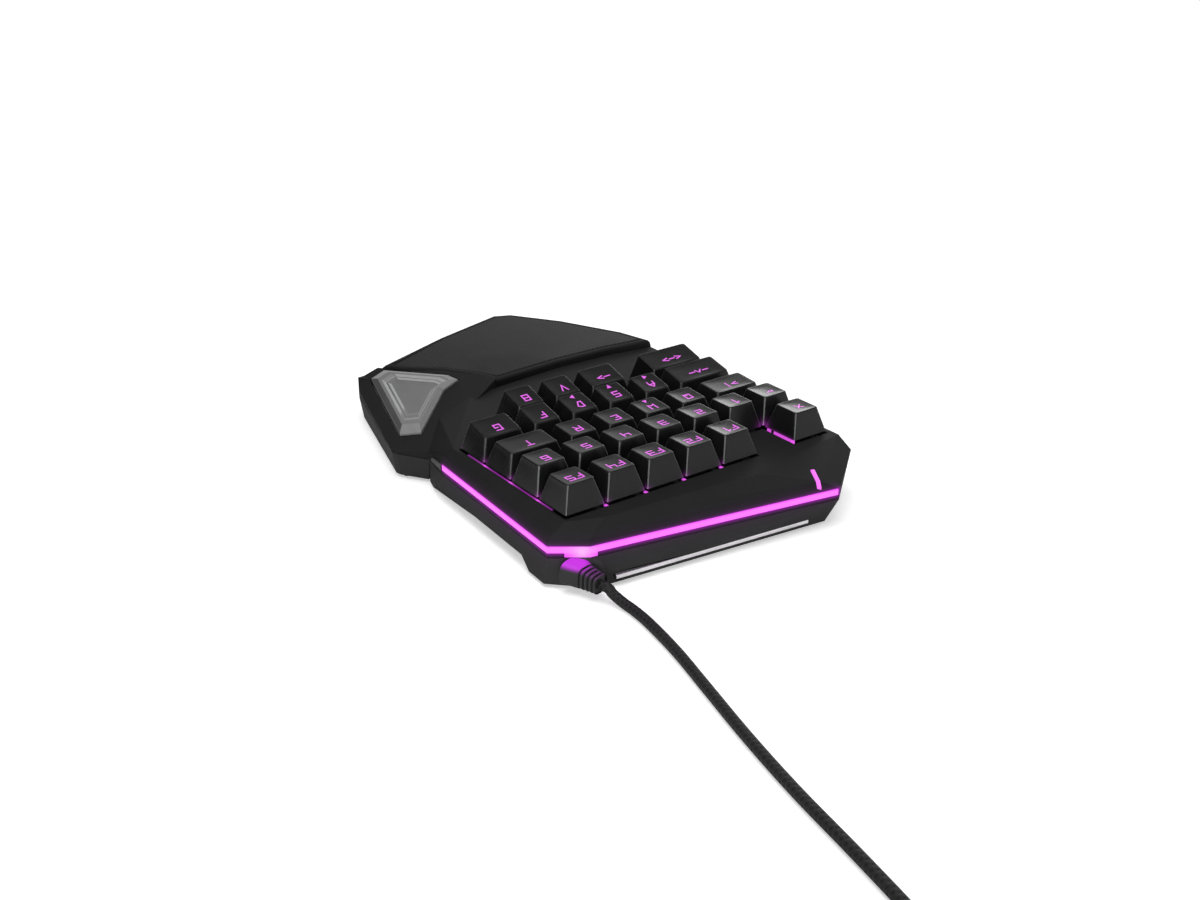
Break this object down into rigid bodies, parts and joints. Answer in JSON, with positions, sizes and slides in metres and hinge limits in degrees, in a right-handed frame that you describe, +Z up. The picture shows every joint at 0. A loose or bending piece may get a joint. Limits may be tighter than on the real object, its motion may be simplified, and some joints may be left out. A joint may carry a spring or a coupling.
{
  "type": "gaming keypad",
  "caption": "One-handed gaming keypad with sprung keys, a triangular thumb key, wrist rest, light strip along two sides, and a cable coiled beside it.",
  "frame": {"origin": "middle of the keypad's plan box, cord left out, on the desk under its feet", "axes": "+X to the user's right, +Y away from the user, where the cable leaves, +Z up out of the keys"},
  "size_m": [0.2487, 0.4663, 0.0368],
  "materials": {
    "housing_black": "fine matt moulded texture",
    "tray_black": "fine matt moulded texture",
    "cap_black": "satin coated caps",
    "wrist_rest_grey": "matt",
    "wrist_pad_grey": "soft matt skin with fine diagonal lines",
    "thumb_key_smoke": "translucent smoke grey, satin",
    "light_magenta": "translucent, lit from inside",
    "indicator_magenta": "translucent, lit from inside",
    "trim_chrome": "bright, slightly satin",
    "foot_rubber": "matt",
    "strain_relief_rubber": "matt",
    "guide_plate_black": "matt",
    "dome_rubber": "matt translucent rubber",
    "circuit_film": "smooth film",
    "back_plate_steel": "galvanised",
    "controller_green": "solder mask",
    "cord_black": "matt, finely braided",
    "plug_black": "satin",
    "plug_steel": "nickel plated",
    "plug_tongue_black": "satin"
  },
  "bodies": {
    "base": {"housing_top": "housing_black", "housing_bottom": "tray_black", "wrist_rest": "wrist_rest_grey", "wrist_pad": "wrist_pad_grey", "guide_plate": "guide_plate_black", "dome_sheet": "dome_rubber", "circuit_sheet": "circuit_film", "back_plate": "back_plate_steel", "controller_board": "controller_green", "thumb_dome": "dome_rubber", "thumb_board": "controller_green", "light_strip": "light_magenta", "indicator_lens": "indicator_magenta", "back_trim": "trim_chrome", "strain_relief": "strain_relief_rubber", "cord_lead": "cord_black", "cord_coil": "cord_black", "plug_body": "plug_black", "plug_shell": "plug_steel", "plug_tongue": "plug_tongue_black", "foot_cable_corner": "foot_rubber", "foot_back_left": "foot_rubber", "foot_left": "foot_rubber", "foot_wrist": "foot_rubber", "foot_wing_front": "foot_rubber", "foot_wing_side": "foot_rubber"},
    "cap_escape": {"key_escape": "cap_black"},
    "cap_f1": {"key_f1": "cap_black"},
    "cap_f2": {"key_f2": "cap_black"},
    "cap_f3": {"key_f3": "cap_black"},
    "cap_f4": {"key_f4": "cap_black"},
    "cap_f5": {"key_f5": "cap_black"},
    "cap_tilde": {"key_tilde": "cap_black"},
    "cap_1": {"key_1": "cap_black"},
    "cap_2": {"key_2": "cap_black"},
    "cap_3": {"key_3": "cap_black"},
    "cap_4": {"key_4": "cap_black"},
    "cap_5": {"key_5": "cap_black"},
    "cap_extra": {"key_extra": "cap_black"},
    "cap_tab": {"key_tab": "cap_black"},
    "cap_q": {"key_q": "cap_black"},
    "cap_w": {"key_w": "cap_black"},
    "cap_e": {"key_e": "cap_black"},
    "cap_r": {"key_r": "cap_black"},
    "cap_t": {"key_t": "cap_black"},
    "cap_shift": {"key_shift": "cap_black"},
    "cap_a": {"key_a": "cap_black"},
    "cap_s": {"key_s": "cap_black"},
    "cap_d": {"key_d": "cap_black"},
    "cap_f": {"key_f": "cap_black"},
    "cap_g": {"key_g": "cap_black"},
    "cap_control": {"key_control": "cap_black"},
    "cap_alt": {"key_alt": "cap_black"},
    "cap_v": {"key_v": "cap_black"},
    "cap_b": {"key_b": "cap_black"},
    "thumb_cap": {"thumb_key": "thumb_key_smoke"}
  },
  "joints": [
    {"name": "press_escape", "type": "slide", "parent": "base", "child": "cap_escape", "axis": [0, 0, -1], "range_m": [0, 0.0032], "stiffness_N_per_m": 160, "springref_m": -0.0012, "deforming": ["dome_sheet"]},
    {"name": "press_f1", "type": "slide", "parent": "base", "child": "cap_f1", "axis": [0, 0, -1], "range_m": [0, 0.0032], "stiffness_N_per_m": 160, "springref_m": -0.0012, "deforming": ["dome_sheet"]},
    {"name": "press_f2", "type": "slide", "parent": "base", "child": "cap_f2", "axis": [0, 0, -1], "range_m": [0, 0.0032], "stiffness_N_per_m": 160, "springref_m": -0.0012, "deforming": ["dome_sheet"]},
    {"name": "press_f3", "type": "slide", "parent": "base", "child": "cap_f3", "axis": [0, 0, -1], "range_m": [0, 0.0032], "stiffness_N_per_m": 160, "springref_m": -0.0012, "deforming": ["dome_sheet"]},
    {"name": "press_f4", "type": "slide", "parent": "base", "child": "cap_f4", "axis": [0, 0, -1], "range_m": [0, 0.0032], "stiffness_N_per_m": 160, "springref_m": -0.0012, "deforming": ["dome_sheet"]},
    {"name": "press_f5", "type": "slide", "parent": "base", "child": "cap_f5", "axis": [0, 0, -1], "range_m": [0, 0.0032], "stiffness_N_per_m": 160, "springref_m": -0.0012, "deforming": ["dome_sheet"]},
    {"name": "press_tilde", "type": "slide", "parent": "base", "child": "cap_tilde", "axis": [0, 0, -1], "range_m": [0, 0.0032], "stiffness_N_per_m": 160, "springref_m": -0.0012, "deforming": ["dome_sheet"]},
    {"name": "press_1", "type": "slide", "parent": "base", "child": "cap_1", "axis": [0, 0, -1], "range_m": [0, 0.0032], "stiffness_N_per_m": 160, "springref_m": -0.0012, "deforming": ["dome_sheet"]},
    {"name": "press_2", "type": "slide", "parent": "base", "child": "cap_2", "axis": [0, 0, -1], "range_m": [0, 0.0032], "stiffness_N_per_m": 160, "springref_m": -0.0012, "deforming": ["dome_sheet"]},
    {"name": "press_3", "type": "slide", "parent": "base", "child": "cap_3", "axis": [0, 0, -1], "range_m": [0, 0.0032], "stiffness_N_per_m": 160, "springref_m": -0.0012, "deforming": ["dome_sheet"]},
    {"name": "press_4", "type": "slide", "parent": "base", "child": "cap_4", "axis": [0, 0, -1], "range_m": [0, 0.0032], "stiffness_N_per_m": 160, "springref_m": -0.0012, "deforming": ["dome_sheet"]},
    {"name": "press_5", "type": "slide", "parent": "base", "child": "cap_5", "axis": [0, 0, -1], "range_m": [0, 0.0032], "stiffness_N_per_m": 160, "springref_m": -0.0012, "deforming": ["dome_sheet"]},
    {"name": "press_extra", "type": "slide", "parent": "base", "child": "cap_extra", "axis": [0, 0, -1], "range_m": [0, 0.0032], "stiffness_N_per_m": 160, "springref_m": -0.0012, "deforming": ["dome_sheet"]},
    {"name": "press_tab", "type": "slide", "parent": "base", "child": "cap_tab", "axis": [0, 0, -1], "range_m": [0, 0.0032], "stiffness_N_per_m": 160, "springref_m": -0.0012, "deforming": ["dome_sheet"]},
    {"name": "press_q", "type": "slide", "parent": "base", "child": "cap_q", "axis": [0, 0, -1], "range_m": [0, 0.0032], "stiffness_N_per_m": 160, "springref_m": -0.0012, "deforming": ["dome_sheet"]},
    {"name": "press_w", "type": "slide", "parent": "base", "child": "cap_w", "axis": [0, 0, -1], "range_m": [0, 0.0032], "stiffness_N_per_m": 160, "springref_m": -0.0012, "deforming": ["dome_sheet"]},
    {"name": "press_e", "type": "slide", "parent": "base", "child": "cap_e", "axis": [0, 0, -1], "range_m": [0, 0.0032], "stiffness_N_per_m": 160, "springref_m": -0.0012, "deforming": ["dome_sheet"]},
    {"name": "press_r", "type": "slide", "parent": "base", "child": "cap_r", "axis": [0, 0, -1], "range_m": [0, 0.0032], "stiffness_N_per_m": 160, "springref_m": -0.0012, "deforming": ["dome_sheet"]},
    {"name": "press_t", "type": "slide", "parent": "base", "child": "cap_t", "axis": [0, 0, -1], "range_m": [0, 0.0032], "stiffness_N_per_m": 160, "springref_m": -0.0012, "deforming": ["dome_sheet"]},
    {"name": "press_shift", "type": "slide", "parent": "base", "child": "cap_shift", "axis": [0, 0, -1], "range_m": [0, 0.0032], "stiffness_N_per_m": 160, "springref_m": -0.0012, "deforming": ["dome_sheet"]},
    {"name": "press_a", "type": "slide", "parent": "base", "child": "cap_a", "axis": [0, 0, -1], "range_m": [0, 0.0032], "stiffness_N_per_m": 160, "springref_m": -0.0012, "deforming": ["dome_sheet"]},
    {"name": "press_s", "type": "slide", "parent": "base", "child": "cap_s", "axis": [0, 0, -1], "range_m": [0, 0.0032], "stiffness_N_per_m": 160, "springref_m": -0.0012, "deforming": ["dome_sheet"]},
    {"name": "press_d", "type": "slide", "parent": "base", "child": "cap_d", "axis": [0, 0, -1], "range_m": [0, 0.0032], "stiffness_N_per_m": 160, "springref_m": -0.0012, "deforming": ["dome_sheet"]},
    {"name": "press_f", "type": "slide", "parent": "base", "child": "cap_f", "axis": [0, 0, -1], "range_m": [0, 0.0032], "stiffness_N_per_m": 160, "springref_m": -0.0012, "deforming": ["dome_sheet"]},
    {"name": "press_g", "type": "slide", "parent": "base", "child": "cap_g", "axis": [0, 0, -1], "range_m": [0, 0.0032], "stiffness_N_per_m": 160, "springref_m": -0.0012, "deforming": ["dome_sheet"]},
    {"name": "press_control", "type": "slide", "parent": "base", "child": "cap_control", "axis": [0, 0, -1], "range_m": [0, 0.0032], "stiffness_N_per_m": 160, "springref_m": -0.0012, "deforming": ["dome_sheet"]},
    {"name": "press_alt", "type": "slide", "parent": "base", "child": "cap_alt", "axis": [0, 0, -1], "range_m": [0, 0.0032], "stiffness_N_per_m": 160, "springref_m": -0.0012, "deforming": ["dome_sheet"]},
    {"name": "press_v", "type": "slide", "parent": "base", "child": "cap_v", "axis": [0, 0, -1], "range_m": [0, 0.0032], "stiffness_N_per_m": 160, "springref_m": -0.0012, "deforming": ["dome_sheet"]},
    {"name": "press_b", "type": "slide", "parent": "base", "child": "cap_b", "axis": [0, 0, -1], "range_m": [0, 0.0032], "stiffness_N_per_m": 160, "springref_m": -0.0012, "deforming": ["dome_sheet"]},
    {"name": "press_thumb", "type": "slide", "parent": "base", "child": "thumb_cap", "axis": [-0.2528, 0.0217, -0.9673], "range_m": [0, 0.0025], "stiffness_N_per_m": 220, "springref_m": -0.0012, "deforming": ["thumb_dome"]}
  ]
}
